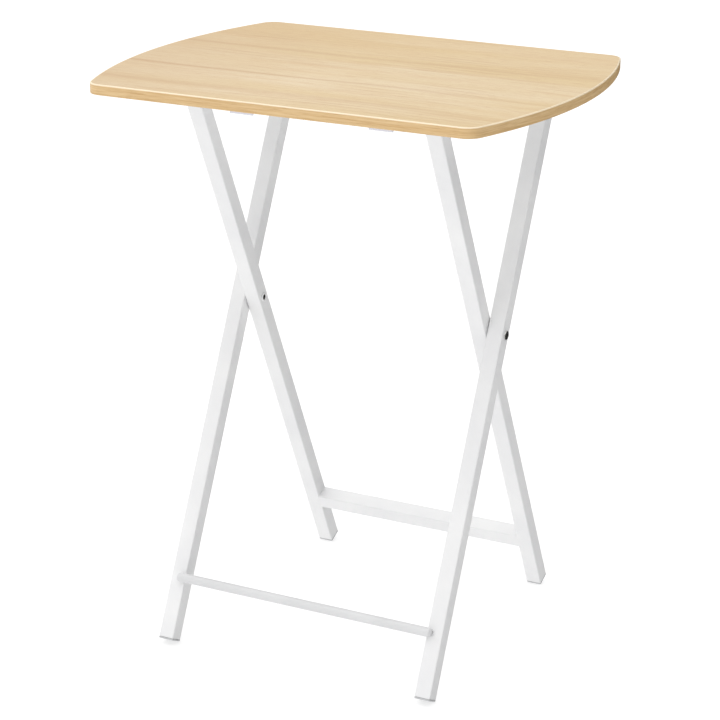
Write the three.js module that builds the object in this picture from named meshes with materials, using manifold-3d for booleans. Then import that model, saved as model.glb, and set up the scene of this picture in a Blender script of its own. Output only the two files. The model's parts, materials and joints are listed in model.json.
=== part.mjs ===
// A folding tray table: a bow-ended wood-grain top on two crossed frames of square steel tube.
// Millimetres, +Z up. The origin is on the floor under the middle of the top, with +X along the
// top's long side and -Y towards the front, where the open clips hold the inner frame.
import * as THREE from "three";
import { mergeVertices } from "three/addons/utils/BufferGeometryUtils.js";
import Module from "manifold-3d";

const wasm = await Module();
wasm.setup();

// ---- driving dimensions ----
const TABLE_HEIGHT = 670;
const JOINT_GAP = 0.3; // left between pieces that meet inside a leaning frame
const SEAT_GAP = 0.1; // left under a head that bears on a face

const TOP_DEPTH = 408;
const TOP_HALF_EDGE = 229.5; // from the middle to where a straight long edge would meet the bowed end
const TOP_BOW = 37.8; // how far an end swells past that point
const TOP_CORNER_RADIUS = 19;
const TOP_THICKNESS = 12;
const LAMINATE_THICKNESS = 0.5;
const EDGE_BAND_THICKNESS = 1.5;

const LEG_LEAN = THREE.MathUtils.degToRad(25.7);
const TUBE_SIZE = 19;
const TUBE_WALL = 1.2;
const TUBE_CORNER_RADIUS = 1.5;
const OUTER_FRAME_HALF_WIDTH = 176;
const FRAME_GAP = 1; // between an outer leg and the inner leg beside it
const PIVOT_Y = 14.5;
const PIVOT_Z = 380;
const RAIL_Z = 644; // height of the inner frame's top rail and of the hinge pins
const LEG_END_ABOVE_RAIL = 9; // along the leg

const ROUND_BAR_RADIUS = 5.35;
const LOWER_BAR_RISE = 74.4; // from the foot, along the leg
const STRETCHER_RISE = 73.9;

const FOOT_CAP_FLANGE = 2;
const FOOT_CAP_LENGTH = 14; // flange and the plug inside the tube together
const TOP_PLUG_FLANGE = 1.5;
const TOP_PLUG_LENGTH = 5;

const RIVET_SHANK_RADIUS = 4;
const RIVET_HEAD_RADIUS = 5.25;
const RIVET_HEAD_HEIGHT = 2.6;
const RIVET_BORE_RADIUS = 3.25;
const RIVET_BORE_DEPTH = 11.6;
const RIVET_ROLL = 1.4; // thickness of the rolled-over end
const RIVET_PLAY = 0.2; // between each end of the rivet and the leg beside it
const RIM_CHAMFER = 0.5;
const WASHER_RADIUS = 9;
const WASHER_THICKNESS = 0.8;

const HINGE_PIN_RADIUS = 3;
const HINGE_HEAD_RADIUS = 4.8;
const HINGE_HEAD_HEIGHT = 2.1;
const HINGE_WASHER_RADIUS = 7;
const HINGE_WASHER_THICKNESS = 0.5;
const BRACKET_SHEET = 2;
const BRACKET_GAP = 0.6; // between the outer leg and the bracket, for the washer
const BRACKET_HALF_WIDTH = 12;
const BRACKET_FLANGE = 24;
const BRACKET_SCREW_SPACING = 13;
const BRACKET_SCREW_OFFSET = 15; // from the ear's inner face

const CLIP_CENTRE_X = 85.3;
const CLIP_WIDTH = 27.8;
const CLIP_DROP = 24; // from the underside of the top to the tip of the front lip
const CLIP_FRONT = 9.5; // from the rail's centre forward to the clip's front face
const CLIP_BACK = 12; // from the rail's centre back to the clip's back face
const CLIP_SLOT_RADIUS = 5.6;
const CLIP_MOUTH_SLOPE = THREE.MathUtils.degToRad(33);
const CLIP_BACK_ARM_DROP = 4; // below the rail's centre
const CLIP_BEAD_REACH = 4.4; // from the rail's centre forward to the bead under the rail
const CLIP_BASE_LENGTH = 54;
const CLIP_BASE_THICKNESS = 3;
const CLIP_SCREW_SPACING = 40;
const CLIP_LIP_CHAMFER = 1;

const SCREW_SHANK_RADIUS = 1.75;
const SCREW_HEAD_RADIUS = 3.4;
const SCREW_HEAD_HEIGHT = 1.8;
const SCREW_HEAD_CROWN = 0.4;
const SCREW_TIP = 1.6;
const SCREW_BITE = 7.5; // into the core

const ROUND_SEGMENTS = 20;
const SCREW_SEGMENTS = 12;
const TUBE_CORNER_SEGMENTS = 1;
const PROFILE_SEGMENTS = 6;
const BOW_SEGMENTS = 7;
const DOME_STEPS = 4;

// ---- derived places ----
const UNDERSIDE_Z = TABLE_HEIGHT - TOP_THICKNESS;
const HALF_TUBE = TUBE_SIZE / 2;
const OUTER_LEG_X = OUTER_FRAME_HALF_WIDTH - HALF_TUBE;
const INNER_LEG_X = OUTER_LEG_X - TUBE_SIZE - FRAME_GAP;
const INNER_FRAME_INSIDE = INNER_LEG_X - HALF_TUBE;
const FOOT_REACH = (PIVOT_Z - HALF_TUBE * Math.sin(LEG_LEAN)) / Math.cos(LEG_LEAN);
const RAIL_REACH = (RAIL_Z - PIVOT_Z) / Math.cos(LEG_LEAN);
const TOP_REACH = RAIL_REACH + LEG_END_ABOVE_RAIL;
const RAIL_HALF_SPAN_Y = (RAIL_Z - PIVOT_Z) * Math.tan(LEG_LEAN);
const CLIP_RAIL_Y = PIVOT_Y - RAIL_HALF_SPAN_Y;
const HINGE_Y = PIVOT_Y + RAIL_HALF_SPAN_Y;
const BRACKET_INNER_X = OUTER_FRAME_HALF_WIDTH + BRACKET_GAP;
const BRACKET_OUTER_X = BRACKET_INNER_X + BRACKET_SHEET;
const BRACKET_SCREW_X = BRACKET_INNER_X + BRACKET_SCREW_OFFSET;
const SIDES = [
  ["left", -1],
  ["right", 1],
];

// ---- materials ----
function surface(color, roughness, metalness) {
  return new THREE.MeshStandardMaterial({ color, roughness, metalness });
}
const whiteSteel = () => surface(0xf1f1f2, 0.45, 0.1);
const platedSteel = () => surface(0xb9bbbd, 0.3, 0.9);
const whitePlastic = () => surface(0xe4e4e8, 0.5, 0);
const greyPlastic = () => surface(0xc9cbcd, 0.55, 0);
const woodLaminate = () => surface(0xe3cfae, 0.45, 0);
const woodEdge = () => surface(0xe0be8f, 0.5, 0);
const whiteBacking = () => surface(0xe6e6e4, 0.6, 0);
const fibreboard = () => surface(0xb08d62, 0.9, 0);

// ---- solids ----
function solidOf(geometry) {
  const bare = geometry.clone();
  bare.deleteAttribute("normal");
  bare.deleteAttribute("uv");
  const merged = mergeVertices(bare, 1e-4);
  const vertProperties = merged.attributes.position.array;
  const triVerts = new Uint32Array(merged.index.array);
  return new wasm.Manifold(new wasm.Mesh({ numProp: 3, vertProperties, triVerts }));
}

function geometryOf(solid) {
  const mesh = solid.getMesh();
  const geometry = new THREE.BufferGeometry();
  geometry.setAttribute("position", new THREE.BufferAttribute(mesh.vertProperties, mesh.numProp));
  geometry.setIndex(new THREE.BufferAttribute(mesh.triVerts, 1));
  geometry.computeVertexNormals();
  return geometry;
}

function cut(geometry, cutters) {
  const remaining = cutters.reduce((solid, cutter) => solid.subtract(solidOf(cutter)), solidOf(geometry));
  return geometryOf(remaining);
}

function join(first, second) {
  return geometryOf(solidOf(first).add(solidOf(second)));
}

function named(name, geometry, material, position = [0, 0, 0]) {
  const mesh = new THREE.Mesh(geometry, material);
  mesh.name = name;
  mesh.position.set(...position);
  return mesh;
}

function extrude(shape, depth, curveSegments = TUBE_CORNER_SEGMENTS) {
  return new THREE.ExtrudeGeometry(shape, { depth, bevelEnabled: false, curveSegments });
}

// A rod along X, centred on the given point.
function rodAlongX(radius, length, centre = [0, 0, 0]) {
  const rod = new THREE.CylinderGeometry(radius, radius, length, ROUND_SEGMENTS);
  rod.rotateZ(Math.PI / 2);
  rod.translate(...centre);
  return rod;
}

function drillAlongZ(radius, x, y, fromZ, toZ) {
  const drill = new THREE.CylinderGeometry(radius, radius, toZ - fromZ, ROUND_SEGMENTS);
  drill.rotateX(Math.PI / 2);
  drill.translate(x, y, (fromZ + toZ) / 2);
  return drill;
}

// A turned piece whose profile is [radius, distance outward from the table's mid-plane] pairs.
function turnedAlongX(profile, side) {
  const points = profile.map(([radius, outward]) => new THREE.Vector2(radius, outward));
  const turned = new THREE.LatheGeometry(points, ROUND_SEGMENTS);
  turned.rotateZ((-side * Math.PI) / 2);
  return turned;
}

// A block between two X planes whose side view, with Y across and Z up, is the given shape.
function sideProfile(shape, fromX, toX) {
  const block = extrude(shape, toX - fromX, PROFILE_SEGMENTS);
  const yAxis = new THREE.Vector3(0, 1, 0);
  const zAxis = new THREE.Vector3(0, 0, 1);
  const xAxis = new THREE.Vector3(1, 0, 0);
  block.applyMatrix4(new THREE.Matrix4().makeBasis(yAxis, zAxis, xAxis));
  block.translate(fromX, 0, 0);
  return block;
}

// ---- tube ----
function roundedSquare(Outline, size, radius) {
  const half = size / 2;
  const inset = half - radius;
  const outline = new Outline();
  outline.absarc(inset, -inset, radius, -Math.PI / 2, 0);
  outline.absarc(inset, inset, radius, 0, Math.PI / 2);
  outline.absarc(-inset, inset, radius, Math.PI / 2, Math.PI);
  outline.absarc(-inset, -inset, radius, Math.PI, 1.5 * Math.PI);
  outline.closePath();
  return outline;
}

function squareTube(length) {
  const section = roundedSquare(THREE.Shape, TUBE_SIZE, TUBE_CORNER_RADIUS);
  const insideSize = TUBE_SIZE - 2 * TUBE_WALL;
  section.holes.push(roundedSquare(THREE.Path, insideSize, TUBE_CORNER_RADIUS - TUBE_WALL));
  return extrude(section, length);
}

// ---- leaning frames: inside these groups Z runs up the leg from the pivot ----
function leaningFrame(lean) {
  const frame = new THREE.Group();
  frame.position.set(0, PIVOT_Y, PIVOT_Z);
  frame.rotation.x = lean;
  return frame;
}

function legTube(holes) {
  const bottom = -FOOT_REACH + FOOT_CAP_FLANGE + JOINT_GAP;
  const top = TOP_REACH - TOP_PLUG_FLANGE - JOINT_GAP;
  const tube = squareTube(top - bottom);
  tube.translate(0, 0, bottom);
  const drills = holes.map(([radius, alongLeg]) => rodAlongX(radius, 2 * TUBE_SIZE, [0, 0, alongLeg]));
  return cut(tube, drills);
}

// A push-in end cap standing on Z 0: a flange the size of the tube and a plug that goes inside it.
function endCap(flange, length) {
  const flangePlate = extrude(roundedSquare(THREE.Shape, TUBE_SIZE, TUBE_CORNER_RADIUS), flange);
  const plugSize = TUBE_SIZE - 2 * TUBE_WALL - 2 * JOINT_GAP;
  const plug = extrude(roundedSquare(THREE.Shape, plugSize, TUBE_CORNER_RADIUS - TUBE_WALL), length);
  return join(flangePlate, plug);
}

function legSet(prefix, side, word, legX, holes) {
  const foot = endCap(FOOT_CAP_FLANGE, FOOT_CAP_LENGTH);
  const plug = endCap(TOP_PLUG_FLANGE, TOP_PLUG_LENGTH);
  plug.rotateX(Math.PI);
  return [
    named(`${prefix}_leg_${word}`, legTube(holes), whiteSteel(), [side * legX, 0, 0]),
    named(`${prefix}_foot_cap_${word}`, foot, greyPlastic(), [side * legX, 0, -FOOT_REACH]),
    named(`${prefix}_top_plug_${word}`, plug, whitePlastic(), [side * legX, 0, TOP_REACH]),
  ];
}

// ---- rivets and washers ----
// Profile points of a domed head, from its seat to the middle of the dome.
function domedHead(seat, radius, height) {
  const points = [[radius, seat]];
  for (let i = 0; i <= DOME_STEPS; i++) {
    const angle = (i / DOME_STEPS) * (Math.PI / 2);
    const out = i === DOME_STEPS ? 0 : radius * Math.cos(angle);
    points.push([out, seat + RIM_CHAMFER + (height - RIM_CHAMFER) * Math.sin(angle)]);
  }
  return points;
}

function pivotRivet(side) {
  const head = OUTER_FRAME_HALF_WIDTH + RIVET_PLAY;
  const tail = INNER_FRAME_INSIDE - RIVET_PLAY;
  const end = tail - RIVET_ROLL;
  return turnedAlongX(
    [
      [0, end + RIVET_BORE_DEPTH],
      [RIVET_BORE_RADIUS, end + RIVET_BORE_DEPTH],
      [RIVET_BORE_RADIUS, end + RIM_CHAMFER],
      [RIVET_BORE_RADIUS + RIM_CHAMFER, end],
      [RIVET_HEAD_RADIUS - RIM_CHAMFER, end],
      [RIVET_HEAD_RADIUS, end + RIM_CHAMFER],
      [RIVET_HEAD_RADIUS, tail],
      [RIVET_SHANK_RADIUS, tail],
      [RIVET_SHANK_RADIUS, head],
      ...domedHead(head, RIVET_HEAD_RADIUS, RIVET_HEAD_HEIGHT),
    ],
    side,
  );
}

function washer(boreRadius, radius, fromX, thickness, side) {
  const profile = [
    [boreRadius, fromX],
    [radius, fromX],
    [radius, fromX + thickness],
    [boreRadius, fromX + thickness],
    [boreRadius, fromX],
  ];
  return turnedAlongX(profile, side);
}

function pivotWasher(side) {
  const inset = (FRAME_GAP - WASHER_THICKNESS) / 2;
  const fromX = INNER_LEG_X + HALF_TUBE + inset;
  return washer(RIVET_SHANK_RADIUS + JOINT_GAP, WASHER_RADIUS, fromX, WASHER_THICKNESS, side);
}

function hingeRivet(side) {
  const tail = OUTER_LEG_X - HALF_TUBE + RIVET_PLAY;
  const seat = BRACKET_OUTER_X + SEAT_GAP;
  return turnedAlongX(
    [
      [0, tail],
      [HINGE_PIN_RADIUS, tail],
      [HINGE_PIN_RADIUS, seat],
      ...domedHead(seat, HINGE_HEAD_RADIUS, HINGE_HEAD_HEIGHT),
    ],
    side,
  );
}

function hingeWasher(side) {
  const boreRadius = HINGE_PIN_RADIUS + JOINT_GAP;
  const fromX = OUTER_FRAME_HALF_WIDTH + (BRACKET_GAP - HINGE_WASHER_THICKNESS) / 2;
  return washer(boreRadius, HINGE_WASHER_RADIUS, fromX, HINGE_WASHER_THICKNESS, side);
}

// ---- outer frame ----
function lowerBar() {
  const barY = -(HALF_TUBE + ROUND_BAR_RADIUS + JOINT_GAP);
  return rodAlongX(ROUND_BAR_RADIUS, 2 * OUTER_LEG_X, [0, barY, LOWER_BAR_RISE - FOOT_REACH]);
}

function outerFrame() {
  const frame = leaningFrame(-LEG_LEAN);
  const holes = [
    [RIVET_SHANK_RADIUS + JOINT_GAP, 0],
    [HINGE_PIN_RADIUS + JOINT_GAP, RAIL_REACH],
  ];
  for (const [word, side] of SIDES) {
    frame.add(...legSet("outer", side, word, OUTER_LEG_X, holes));
    frame.add(named(`pivot_rivet_${word}`, pivotRivet(side), platedSteel()));
    frame.add(named(`pivot_washer_${word}`, pivotWasher(side), greyPlastic()));
    frame.add(named(`hinge_rivet_${word}`, hingeRivet(side), platedSteel(), [0, 0, RAIL_REACH]));
    frame.add(named(`hinge_washer_${word}`, hingeWasher(side), greyPlastic(), [0, 0, RAIL_REACH]));
  }
  frame.add(named("lower_round_bar", lowerBar(), whiteSteel()));
  return frame;
}

// ---- inner frame ----
function footStretcher() {
  const tube = squareTube(2 * INNER_FRAME_INSIDE);
  tube.translate(0, 0, -INNER_FRAME_INSIDE);
  tube.rotateY(Math.PI / 2);
  return tube;
}

function innerFrame() {
  const frame = leaningFrame(LEG_LEAN);
  const holes = [[RIVET_SHANK_RADIUS + JOINT_GAP, 0]];
  for (const [word, side] of SIDES) {
    frame.add(...legSet("inner", side, word, INNER_LEG_X, holes));
  }
  const rail = rodAlongX(ROUND_BAR_RADIUS, 2 * INNER_FRAME_INSIDE);
  frame.add(named("inner_top_rail", rail, whiteSteel(), [0, 0, RAIL_REACH]));
  frame.add(named("foot_stretcher", footStretcher(), whiteSteel(), [0, 0, STRETCHER_RISE - FOOT_REACH]));
  return frame;
}

// ---- top ----
// The outline of the top pulled in by `inset`: straight long edges, bowed ends, rounded corners.
function topOutline(Outline, inset) {
  const halfDepth = TOP_DEPTH / 2;
  const bowRadius = (halfDepth ** 2 + TOP_BOW ** 2) / (2 * TOP_BOW);
  const bowCentre = TOP_HALF_EDGE + TOP_BOW - bowRadius;
  const cornerY = halfDepth - TOP_CORNER_RADIUS;
  const cornerX = bowCentre + Math.sqrt((bowRadius - TOP_CORNER_RADIUS) ** 2 - cornerY ** 2);
  const turn = Math.atan2(cornerY, cornerX - bowCentre);
  const corner = TOP_CORNER_RADIUS - inset;
  const bow = bowRadius - inset;
  const outline = new Outline();
  outline.absarc(cornerX, -cornerY, corner, -Math.PI / 2, -turn);
  outline.absarc(bowCentre, 0, bow, -turn, turn);
  outline.absarc(cornerX, cornerY, corner, turn, Math.PI / 2);
  outline.absarc(-cornerX, cornerY, corner, Math.PI / 2, Math.PI - turn);
  outline.absarc(-bowCentre, 0, bow, Math.PI - turn, Math.PI + turn);
  outline.absarc(-cornerX, -cornerY, corner, Math.PI + turn, 1.5 * Math.PI);
  outline.closePath();
  return outline;
}

function topLayer(thickness) {
  return extrude(topOutline(THREE.Shape, EDGE_BAND_THICKNESS), thickness, BOW_SEGMENTS);
}

// Places of the screws: [name, X, Y, Z of the face that the head bears on].
function screwPlaces() {
  const clipSeat = UNDERSIDE_Z - CLIP_BASE_THICKNESS;
  const bracketSeat = UNDERSIDE_Z - BRACKET_SHEET;
  const places = [];
  for (const [word, side] of SIDES) {
    for (const [end, sign] of [["outer", side], ["inner", -side]]) {
      const x = side * CLIP_CENTRE_X + (sign * CLIP_SCREW_SPACING) / 2;
      places.push([`clip_screw_${word}_${end}`, x, CLIP_RAIL_Y, clipSeat]);
    }
    for (const [end, sign] of [["front", -1], ["back", 1]]) {
      const y = HINGE_Y + (sign * BRACKET_SCREW_SPACING) / 2;
      places.push([`bracket_screw_${word}_${end}`, side * BRACKET_SCREW_X, y, bracketSeat]);
    }
  }
  return places;
}

function screwDrills(clearance, fromZ, toZ) {
  return screwPlaces().map(([, x, y]) => drillAlongZ(SCREW_SHANK_RADIUS + clearance, x, y, fromZ, toZ));
}

function woodScrew(seatZ) {
  const headTop = seatZ - SEAT_GAP;
  const headBottom = headTop - SCREW_HEAD_HEIGHT;
  const shankTop = UNDERSIDE_Z + LAMINATE_THICKNESS + SCREW_BITE;
  const profile = [
    [0, headBottom],
    [SCREW_HEAD_RADIUS - SCREW_HEAD_CROWN, headBottom],
    [SCREW_HEAD_RADIUS, headBottom + SCREW_HEAD_CROWN],
    [SCREW_HEAD_RADIUS, headTop],
    [SCREW_SHANK_RADIUS, headTop],
    [SCREW_SHANK_RADIUS, shankTop - SCREW_TIP],
    [0, shankTop],
  ];
  const screw = new THREE.LatheGeometry(profile.map(([r, z]) => new THREE.Vector2(r, z)), SCREW_SEGMENTS);
  screw.rotateX(Math.PI / 2);
  return screw;
}

function clipProfile() {
  const lipTip = UNDERSIDE_Z - RAIL_Z - CLIP_DROP;
  const backTip = -CLIP_BACK_ARM_DROP;
  const tangentY = CLIP_SLOT_RADIUS * Math.cos(CLIP_MOUTH_SLOPE);
  const tangentZ = CLIP_SLOT_RADIUS * Math.sin(CLIP_MOUTH_SLOPE);
  const mouthY = tangentY + (tangentZ - backTip) * Math.tan(CLIP_MOUTH_SLOPE);
  const beadZ = -CLIP_SLOT_RADIUS;
  const top = UNDERSIDE_Z - RAIL_Z;
  const shape = new THREE.Shape();
  shape.moveTo(-CLIP_FRONT, lipTip + CLIP_LIP_CHAMFER);
  shape.lineTo(-CLIP_FRONT + CLIP_LIP_CHAMFER, lipTip);
  shape.lineTo(-CLIP_SLOT_RADIUS, lipTip);
  shape.lineTo(-CLIP_BEAD_REACH, beadZ);
  shape.lineTo(-CLIP_SLOT_RADIUS, beadZ / 2);
  shape.lineTo(-CLIP_SLOT_RADIUS, 0);
  shape.absarc(0, 0, CLIP_SLOT_RADIUS, Math.PI, CLIP_MOUTH_SLOPE, true);
  shape.lineTo(mouthY, backTip);
  shape.lineTo(CLIP_BACK, backTip);
  shape.lineTo(CLIP_BACK, top);
  shape.lineTo(-CLIP_FRONT, top);
  shape.closePath();
  return shape;
}

// An open clip on a screwed base: the rail leaves its mouth down and backwards.
function snapClip() {
  const hook = sideProfile(clipProfile(), -CLIP_WIDTH / 2, CLIP_WIDTH / 2);
  const baseDepth = CLIP_FRONT + CLIP_BACK;
  const base = new THREE.BoxGeometry(CLIP_BASE_LENGTH, baseDepth, CLIP_BASE_THICKNESS);
  base.translate(0, (CLIP_BACK - CLIP_FRONT) / 2, UNDERSIDE_Z - RAIL_Z - CLIP_BASE_THICKNESS / 2);
  const drills = [-1, 1].map((sign) => {
    const x = (sign * CLIP_SCREW_SPACING) / 2;
    return drillAlongZ(SCREW_SHANK_RADIUS + JOINT_GAP, x, 0, 0, TOP_THICKNESS * 2);
  });
  return cut(join(hook, base), drills);
}

// An angle bracket: an ear beside the outer leg, and a flange screwed to the underside.
function hingeBracket(side) {
  const ear = new THREE.Shape();
  ear.moveTo(BRACKET_HALF_WIDTH, UNDERSIDE_Z - RAIL_Z);
  ear.lineTo(-BRACKET_HALF_WIDTH, UNDERSIDE_Z - RAIL_Z);
  ear.absarc(0, 0, BRACKET_HALF_WIDTH, Math.PI, 2 * Math.PI);
  ear.closePath();
  const earX = [side * BRACKET_INNER_X, side * BRACKET_OUTER_X].sort((a, b) => a - b);
  const earPlate = sideProfile(ear, ...earX);
  const flange = new THREE.BoxGeometry(BRACKET_FLANGE, 2 * BRACKET_HALF_WIDTH, BRACKET_SHEET);
  const flangeX = side * (BRACKET_INNER_X + BRACKET_FLANGE / 2);
  flange.translate(flangeX, 0, UNDERSIDE_Z - RAIL_Z - BRACKET_SHEET / 2);
  const pinHole = rodAlongX(HINGE_PIN_RADIUS + JOINT_GAP, 4 * BRACKET_SHEET, [earX[0], 0, 0]);
  const drills = [-1, 1].map((sign) => {
    const y = (sign * BRACKET_SCREW_SPACING) / 2;
    return drillAlongZ(SCREW_SHANK_RADIUS + JOINT_GAP, side * BRACKET_SCREW_X, y, 0, TOP_THICKNESS * 2);
  });
  return cut(join(earPlate, flange), [pinHole, ...drills]);
}

function topPanel() {
  const coreZ = UNDERSIDE_Z + LAMINATE_THICKNESS;
  const coreThickness = TOP_THICKNESS - 2 * LAMINATE_THICKNESS;
  const pilotDepth = SCREW_BITE + JOINT_GAP;
  const through = TOP_THICKNESS;
  const core = cut(topLayer(coreThickness), screwDrills(JOINT_GAP, -through, pilotDepth));
  const underside = cut(topLayer(LAMINATE_THICKNESS), screwDrills(JOINT_GAP, -through, through));
  const upper = topLayer(LAMINATE_THICKNESS);
  const bandOutline = topOutline(THREE.Shape, 0);
  bandOutline.holes.push(topOutline(THREE.Path, EDGE_BAND_THICKNESS));
  const band = extrude(bandOutline, TOP_THICKNESS, BOW_SEGMENTS);
  return [
    named("core_panel", core, fibreboard(), [0, 0, coreZ]),
    named("top_laminate", upper, woodLaminate(), [0, 0, TABLE_HEIGHT - LAMINATE_THICKNESS]),
    named("underside_backing", underside, whiteBacking(), [0, 0, UNDERSIDE_Z]),
    named("edge_band", band, woodEdge(), [0, 0, UNDERSIDE_Z]),
  ];
}

function topAssembly() {
  const group = new THREE.Group();
  group.add(...topPanel());
  for (const [word, side] of SIDES) {
    const clipPlace = [side * CLIP_CENTRE_X, CLIP_RAIL_Y, RAIL_Z];
    group.add(named(`snap_clip_${word}`, snapClip(), whitePlastic(), clipPlace));
    group.add(named(`hinge_bracket_${word}`, hingeBracket(side), whiteSteel(), [0, HINGE_Y, RAIL_Z]));
  }
  for (const [name, x, y, seatZ] of screwPlaces()) {
    group.add(named(name, woodScrew(seatZ), platedSteel(), [x, y, 0]));
  }
  return group;
}

const table = new THREE.Group();
table.add(outerFrame(), innerFrame(), topAssembly());

export default table;
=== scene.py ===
"""Looks of a folding tray table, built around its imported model.

A bow-ended laminated board is hinged to two crossed frames of powder-coated square tube. Each
sub-assembly is a class whose fields are sizes in millimetres. Its build method makes the finer
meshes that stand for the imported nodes, dresses them and lets them ride on their bodies.
"""

from __future__ import annotations

import json
import logging
import math
from dataclasses import dataclass, field
from enum import Enum
from typing import Any, Sequence

import bmesh
import bpy
from mathutils import Matrix, Vector

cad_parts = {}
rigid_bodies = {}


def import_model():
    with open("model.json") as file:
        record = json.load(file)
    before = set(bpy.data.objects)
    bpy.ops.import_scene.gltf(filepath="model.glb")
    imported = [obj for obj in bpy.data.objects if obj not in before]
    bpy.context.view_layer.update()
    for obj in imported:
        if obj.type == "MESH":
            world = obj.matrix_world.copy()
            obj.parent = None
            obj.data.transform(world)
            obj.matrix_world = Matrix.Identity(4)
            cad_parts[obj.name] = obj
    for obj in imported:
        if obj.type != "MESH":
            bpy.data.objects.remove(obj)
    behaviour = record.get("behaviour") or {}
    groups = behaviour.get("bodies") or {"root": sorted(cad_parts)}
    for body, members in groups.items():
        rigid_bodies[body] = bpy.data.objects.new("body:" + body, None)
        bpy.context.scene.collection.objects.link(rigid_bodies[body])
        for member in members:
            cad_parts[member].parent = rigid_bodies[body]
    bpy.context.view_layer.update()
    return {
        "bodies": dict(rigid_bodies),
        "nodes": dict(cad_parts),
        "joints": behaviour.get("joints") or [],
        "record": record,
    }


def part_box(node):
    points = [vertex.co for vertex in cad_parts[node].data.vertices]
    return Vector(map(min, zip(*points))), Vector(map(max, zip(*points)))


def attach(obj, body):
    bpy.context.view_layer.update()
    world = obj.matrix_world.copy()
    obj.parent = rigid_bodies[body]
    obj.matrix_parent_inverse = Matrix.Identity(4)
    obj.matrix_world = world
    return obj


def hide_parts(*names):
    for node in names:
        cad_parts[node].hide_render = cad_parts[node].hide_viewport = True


LOG = logging.getLogger("tray_table")
MM = 0.001
MIX_A, MIX_B, MIX_RESULT = 6, 7, 2  # colour sockets of a Mix node
WAVE_PERIOD = math.pi / 10  # of a Wave texture at scale 1

HEAD_CREASE = 40.0  # degrees, on turned heads
BEAD_CREASE = 80.0  # degrees, on weld beads
EASED_CREASE = 35.0  # degrees, on pieces with eased edges
MOST_NOISE = (0.3, 0.7)  # the span that holds nearly all of a Noise texture

Point = tuple[float, float]
Section = tuple[list[Point], float]
Piece = bpy.types.Object
Socket = bpy.types.NodeSocket


class Body(Enum):
    """The bodies that the pieces ride on."""

    OUTER = "outer_frame"
    INNER = "inner_frame"
    TOP = "table_top"


class Slot(Enum):
    """The record's material slots."""

    POWDER_COAT = "white_powder_coat"
    GREY_PLASTIC = "grey_plastic"
    WHITE_PLASTIC = "white_plastic"
    PLATED_STEEL = "plated_steel"
    FIBREBOARD = "fibreboard"
    LAMINATE = "wood_laminate"
    BACKING = "white_backing"
    EDGE_BAND = "wood_edge_band"


class Side(Enum):
    """The two sides of the table, with the sign of their X."""

    LEFT = -1
    RIGHT = 1

    @property
    def word(self) -> str:
        """The side's word in a piece's name."""
        return self.name.lower()


# ---- colour and nodes ----
def linear(hex_colour: str) -> tuple[float, float, float, float]:
    """Turns an sRGB hex colour to linear RGBA.

    Args:
        hex_colour: Six hex digits after a hash.

    Returns:
        Linear red, green and blue, and an alpha of 1.
    """
    channels = [int(hex_colour[i : i + 2], 16) / 255 for i in (1, 3, 5)]
    values = [c / 12.92 if c <= 0.04045 else ((c + 0.055) / 1.055) ** 2.4 for c in channels]
    return (values[0], values[1], values[2], 1.0)


def add_node(
    tree: bpy.types.NodeTree,
    kind: str,
    settings: dict[Any, Any] | None = None,
    links: dict[Any, Socket] | None = None,
) -> bpy.types.Node:
    """Adds a shader node.

    Args:
        tree: The node tree that it joins.
        kind: The node's type name.
        settings: Properties of the node by name, and input values by input name or number.
        links: Output sockets by the name or number of the input that each one feeds.

    Returns:
        The new node.
    """
    node = tree.nodes.new(kind)
    for key, value in (settings or {}).items():
        if isinstance(key, str) and hasattr(node, key):
            setattr(node, key, value)
        else:
            node.inputs[key].default_value = value
    for key, socket in (links or {}).items():
        tree.links.new(socket, node.inputs[key])
    return node


def per_mm(size: float) -> float:
    """The texture scale, in metres, of a pattern whose features measure `size` millimetres."""
    return 1.0 / (size * MM)


def in_metres(span: Point) -> Point:
    """A span in millimetres, as metres."""
    return (span[0] * MM, span[1] * MM)


def spans(source: Point, target: Point) -> dict[Any, Any]:
    """Input values of a Map Range node that maps one span to another."""
    return {1: source[0], 2: source[1], 3: target[0], 4: target[1]}


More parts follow.
